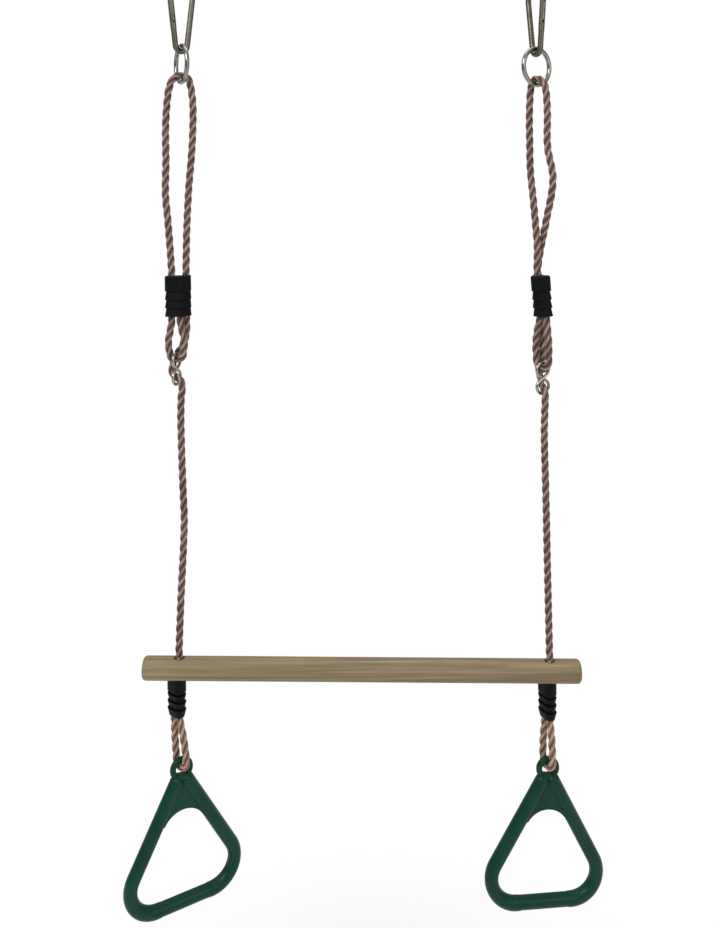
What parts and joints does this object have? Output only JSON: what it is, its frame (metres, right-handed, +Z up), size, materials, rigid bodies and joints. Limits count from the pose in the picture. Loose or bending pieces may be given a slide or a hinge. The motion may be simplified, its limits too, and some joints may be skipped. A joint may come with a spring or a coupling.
{
  "type": "trapeze bar",
  "caption": "Wooden trapeze bar on adjustable twisted ropes with ribbed clamp sleeves, snap hooks and steel rings, and a triangle handle hanging under each end.",
  "frame": {"origin": "midway between the inside tops of the two snap hooks, where they bear on what they hang from", "axes": "+Z up, +X along the bar from the left rope to the right one as pictured, +Y away from the viewer"},
  "size_m": [0.6255, 0.091, 1.2245],
  "materials": {
    "hook_steel": "dull zinc-plated rod",
    "pin_steel": "dark steel",
    "spring_steel": "bright wire",
    "ring_steel": "polished rod",
    "rope": "twisted three-strand rope",
    "sleeve_plastic": "moulded, black",
    "handle_plastic": "satin dark green",
    "bar_wood": "turned and oiled"
  },
  "bodies": {
    "support": {"left_carabiner": "hook_steel", "right_carabiner": "hook_steel", "left_gate_pin": "pin_steel", "right_gate_pin": "pin_steel"},
    "left_gate": {"left_gate": "hook_steel", "left_gate_spring": "spring_steel", "left_latch_pin": "pin_steel"},
    "left_ring": {"left_ring": "ring_steel"},
    "left_loop": {"left_rope_loop": "rope"},
    "left_adjuster": {"left_upper_sleeve": "sleeve_plastic", "left_rope_eye": "rope", "left_figure_eight": "ring_steel"},
    "left_run": {"left_rope_run": "rope"},
    "right_gate": {"right_gate": "hook_steel", "right_gate_spring": "spring_steel", "right_latch_pin": "pin_steel"},
    "right_ring": {"right_ring": "ring_steel"},
    "right_loop": {"right_rope_loop": "rope"},
    "right_adjuster": {"right_upper_sleeve": "sleeve_plastic", "right_rope_eye": "rope", "right_figure_eight": "ring_steel"},
    "right_run": {"right_rope_run": "rope"},
    "bar": {"bar": "bar_wood", "left_lower_sleeve": "sleeve_plastic", "left_rope_anchor": "rope", "right_lower_sleeve": "sleeve_plastic", "right_rope_anchor": "rope"},
    "left_eye": {"left_handle_rope": "rope"},
    "left_handle": {"left_handle": "handle_plastic"},
    "right_eye": {"right_handle_rope": "rope"},
    "right_handle": {"right_handle": "handle_plastic"}
  },
  "joints": [
    {"name": "left_gate_hinge", "type": "hinge", "parent": "support", "child": "left_gate", "pos_m": [-0.2437, -0.0056, -0.04124], "axis": [-0.5, 0.866, 0], "range_deg": [0, 25], "stiffness_Nm_per_rad": 0.03, "springref_deg": -28.65, "deforming": ["left_gate_spring"]},
    {"name": "right_gate_hinge", "type": "hinge", "parent": "support", "child": "right_gate", "pos_m": [0.23926, -0.00989, -0.04924], "axis": [-0.8829, -0.4695, 0], "range_deg": [0, 25], "stiffness_Nm_per_rad": 0.03, "springref_deg": -28.65, "deforming": ["right_gate_spring"]},
    {"name": "left_ring_swing", "type": "hinge", "parent": "support", "child": "left_ring", "pos_m": [-0.234, 0, -0.075], "axis": [0.9999, 0, -0.0128], "range_deg": [-25, 25]},
    {"name": "right_ring_swing", "type": "hinge", "parent": "support", "child": "right_ring", "pos_m": [0.234, 0, -0.081], "axis": [0.9999, 0, -0.0128], "range_deg": [-25, 25]},
    {"name": "left_rope_sway", "type": "hinge", "parent": "left_ring", "child": "left_loop", "pos_m": [-0.234, 0, -0.1202], "axis": [0, 1, 0], "range_deg": [-15, 15], "deforming": ["left_rope_loop"]},
    {"name": "right_rope_sway", "type": "hinge", "parent": "right_ring", "child": "right_loop", "pos_m": [0.234, 0, -0.1282], "axis": [0, 1, 0], "range_deg": [-15, 15], "deforming": ["right_rope_loop"]},
    {"name": "left_adjuster_slide", "type": "slide", "parent": "left_loop", "child": "left_adjuster", "axis": [0, 0, -1], "range_m": [-0.06, 0.06], "deforming": ["left_rope_eye"]},
    {"name": "right_adjuster_slide", "type": "slide", "parent": "right_loop", "child": "right_adjuster", "axis": [0, 0, -1], "range_m": [-0.06, 0.06], "deforming": ["right_rope_eye"]},
    {"name": "left_run_slide", "type": "slide", "parent": "left_adjuster", "child": "left_run", "axis": [0, 0, -1], "range_m": [-0.12, 0.12], "deforming": ["left_rope_run"]},
    {"name": "right_run_slide", "type": "slide", "parent": "right_adjuster", "child": "right_run", "axis": [0, 0, -1], "range_m": [-0.12, 0.12], "deforming": ["right_rope_run"]},
    {"name": "bar_tilt", "type": "hinge", "parent": "left_run", "child": "bar", "pos_m": [-0.244, 0, -0.8775], "axis": [0, 1, 0], "range_deg": [-15, 15]},
    {"name": "left_handle_swing", "type": "hinge", "parent": "bar", "child": "left_eye", "pos_m": [-0.244, 0, -0.9555], "axis": [1, 0, 0], "range_deg": [-30, 30], "deforming": ["left_handle_rope"]},
    {"name": "right_handle_swing", "type": "hinge", "parent": "bar", "child": "right_eye", "pos_m": [0.244, 0, -0.9635], "axis": [1, 0, 0], "range_deg": [-30, 30], "deforming": ["right_handle_rope"]},
    {"name": "left_handle_tilt", "type": "hinge", "parent": "left_eye", "child": "left_handle", "pos_m": [-0.2422, 0, -1.0225], "axis": [-0.509, 0.8607, 0], "range_deg": [-45, 45]},
    {"name": "right_handle_tilt", "type": "hinge", "parent": "right_eye", "child": "right_handle", "pos_m": [0.2404, 0, -1.0264], "axis": [-0.1478, 0.989, 0], "range_deg": [-45, 45]}
  ],
  "couplings": [
    {"joint": "right_ring_swing", "follows": "left_ring_swing", "ratio": 1},
    {"joint": "right_rope_sway", "follows": "left_rope_sway", "ratio": 1},
    {"joint": "right_adjuster_slide", "follows": "left_adjuster_slide", "ratio": 1},
    {"joint": "left_run_slide", "follows": "left_adjuster_slide", "ratio": -2},
    {"joint": "right_run_slide", "follows": "left_adjuster_slide", "ratio": -2},
    {"joint": "bar_tilt", "follows": "left_rope_sway", "ratio": -0.959}
  ]
}
